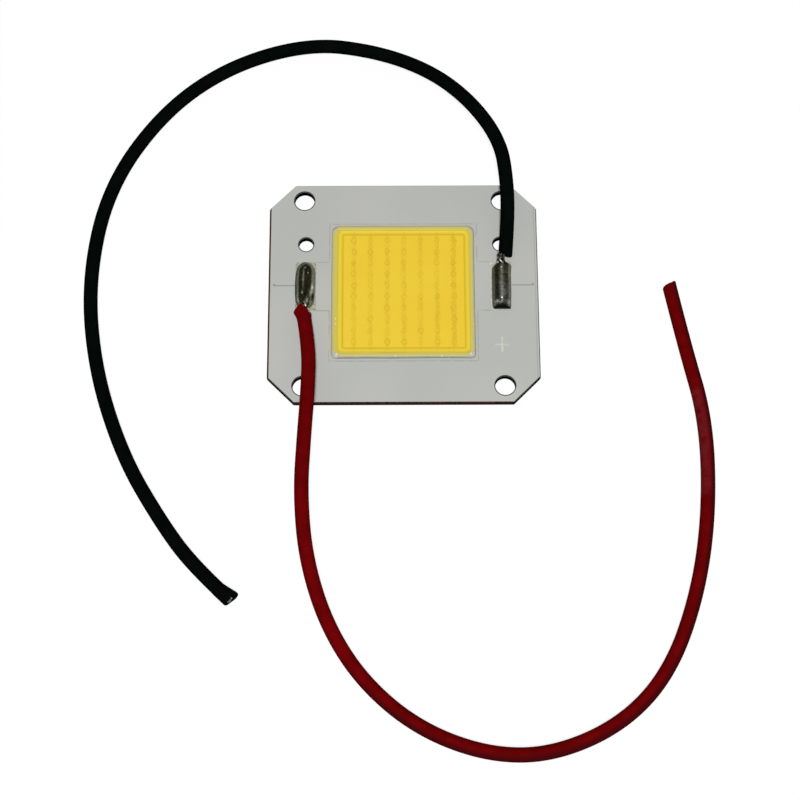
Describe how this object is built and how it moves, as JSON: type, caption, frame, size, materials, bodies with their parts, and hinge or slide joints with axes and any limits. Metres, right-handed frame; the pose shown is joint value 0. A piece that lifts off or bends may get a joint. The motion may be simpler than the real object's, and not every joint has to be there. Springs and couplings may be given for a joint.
{
  "type": "cob led",
  "caption": "Square light area on an octagonal metal-core plate with bolt holes and two soldered insulated leads, for screwing to a heat sink.",
  "frame": {"origin": "centre of the plate's underside, on the heat-sink face", "axes": "+Z out of the light area, +X along the plate's longer side towards the pad with the plus sign, +Y towards the edge that the black lead crosses"},
  "size_m": [0.1061, 0.1282, 0.0072],
  "materials": {
    "copper_plate": "satin, scored and broken edges",
    "dielectric": "matte",
    "copper_track": "satin",
    "mask": "satin white-grey coat",
    "pad_plating": "bright",
    "print_ink": "matte",
    "dam_silicone": "translucent, soft gloss",
    "phosphor_silicone": "soft gloss",
    "die_sapphire": "polished",
    "gold_wire": "bright",
    "solder": "bright, dark reflections",
    "tinned_strand": "bright",
    "red_insulation": "satin",
    "black_insulation": "satin"
  },
  "bodies": {
    "root": {"base_plate": "copper_plate", "dielectric_layer": "dielectric", "track_left": "copper_track", "track_right": "copper_track", "solder_mask": "mask", "pad_plating_left": "pad_plating", "pad_plating_right": "pad_plating", "polarity_mark": "print_ink", "dam_ring": "dam_silicone", "phosphor_gel": "phosphor_silicone", "led_dies": "die_sapphire", "bond_wires": "gold_wire", "solder_joint_left": "solder", "solder_joint_right": "solder", "bare_strands_left": "tinned_strand", "bare_strands_right": "tinned_strand", "lead_red": "red_insulation", "lead_black": "black_insulation", "strand_end_red": "tinned_strand", "strand_end_black": "tinned_strand"}
  },
  "joints": []
}
